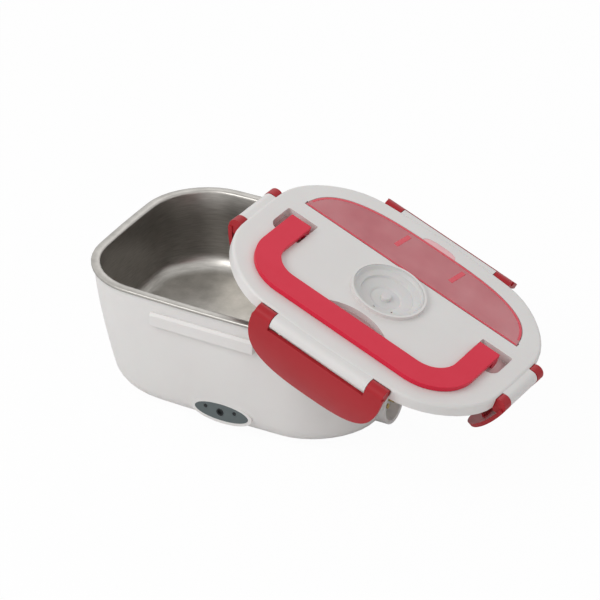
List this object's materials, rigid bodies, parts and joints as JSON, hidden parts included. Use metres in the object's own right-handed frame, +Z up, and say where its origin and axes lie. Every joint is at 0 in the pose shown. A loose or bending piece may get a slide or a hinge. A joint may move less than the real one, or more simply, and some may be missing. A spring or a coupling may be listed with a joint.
{
  "type": "electric lunch box",
  "caption": "Electric lunch box with a lift-out steel tray on a heating plate, and a lift-off latched lid with a fold-down handle, steam vent stopper and covered spoon bay.",
  "frame": {"origin": "centre of the base on the surface that the box stands on", "axes": "+X along the box towards the power inlet, +Y from the indicator side to the back, +Z up"},
  "size_m": [0.357, 0.2232, 0.167],
  "materials": {
    "white_plastic": "smooth glossy warm white",
    "inner_plastic": "fine matt off-white",
    "red_plastic": "smooth glossy red",
    "clear_red": "translucent red, half gloss",
    "silicone": "soft translucent silicone",
    "steel": "satin stainless steel",
    "pin_steel": "drawn steel",
    "plate_metal": "cast and machined",
    "heater_gold": "wrapped heating element",
    "contact_brass": "turned",
    "black_plastic": "matt black",
    "foot_rubber": "soft rubber",
    "panel_grey": "smooth grey",
    "light_lens": "milky lens",
    "board_green": "coated board",
    "lead_cover": "silicone lead cover"
  },
  "bodies": {
    "base": {"outer_shell": "white_plastic", "base_cover": "inner_plastic", "rubber_feet": "foot_rubber", "base_screws": "pin_steel", "inner_liner": "inner_plastic", "heating_plate": "plate_metal", "plate_screws": "pin_steel", "ptc_heater": "heater_gold", "heater_clamp": "plate_metal", "clamp_screws": "pin_steel", "thermostat": "black_plastic", "thermal_fuse": "inner_plastic", "power_socket": "black_plastic", "contact_pins": "contact_brass", "inner_leads": "lead_cover", "indicator_panel": "panel_grey", "indicator_lights": "light_lens", "light_board": "board_green"},
    "tray": {"steel_tray": "steel"},
    "lid": {"lid_top": "white_plastic", "lid_inner": "inner_plastic", "lid_gasket": "silicone", "handle_pins": "pin_steel", "long_latch_pins": "pin_steel", "short_latch_pins": "pin_steel", "spoon": "steel"},
    "handle": {"carry_handle": "red_plastic"},
    "latch_front": {"front_latch": "red_plastic"},
    "latch_back": {"back_latch": "red_plastic"},
    "latch_left": {"left_latch": "red_plastic"},
    "latch_right": {"right_latch": "red_plastic"},
    "cover": {"spoon_cover": "clear_red"},
    "plug": {"vent_plug": "silicone"}
  },
  "joints": [
    {"name": "lid_lift", "type": "slide", "parent": "base", "child": "lid", "axis": [0, 0, 1], "range_m": [0, 0.18]},
    {"name": "tray_lift", "type": "slide", "parent": "base", "child": "tray", "axis": [0, 0, 1], "range_m": [0, 0.09]},
    {"name": "handle_pivot", "type": "hinge", "parent": "lid", "child": "handle", "pos_m": [0.11986, -0.01396, 0.12413], "axis": [-0.939, 0.0492, 0.3404], "range_deg": [0, 90]},
    {"name": "front_latch_hinge", "type": "hinge", "parent": "lid", "child": "latch_front", "pos_m": [0.11363, -0.10676, 0.12037], "axis": [-0.939, 0.0492, 0.3404], "range_deg": [0, 90]},
    {"name": "back_latch_hinge", "type": "hinge", "parent": "lid", "child": "latch_back", "pos_m": [0.12295, 0.07099, 0.12037], "axis": [0.939, -0.0492, -0.3404], "range_deg": [-8, 35]},
    {"name": "left_latch_hinge", "type": "hinge", "parent": "lid", "child": "latch_left", "pos_m": [0.00608, -0.012, 0.16105], "axis": [0.0523, 0.9986, 0], "range_deg": [0, 108]},
    {"name": "right_latch_hinge", "type": "hinge", "parent": "lid", "child": "latch_right", "pos_m": [0.2305, -0.02376, 0.0797], "axis": [-0.0523, -0.9986, 0], "range_deg": [0, 108]},
    {"name": "cover_hinge", "type": "hinge", "parent": "lid", "child": "cover", "pos_m": [0.12168, 0.01498, 0.12498], "axis": [0.939, -0.0492, -0.3404], "range_deg": [0, 100]},
    {"name": "vent_lift", "type": "slide", "parent": "lid", "child": "plug", "axis": [0.3399, -0.0178, 0.9403], "range_m": [0, 0.008]}
  ],
  "couplings": [
    {"joint": "tray_lift", "follows": "lid_lift", "ratio": 0.5}
  ]
}
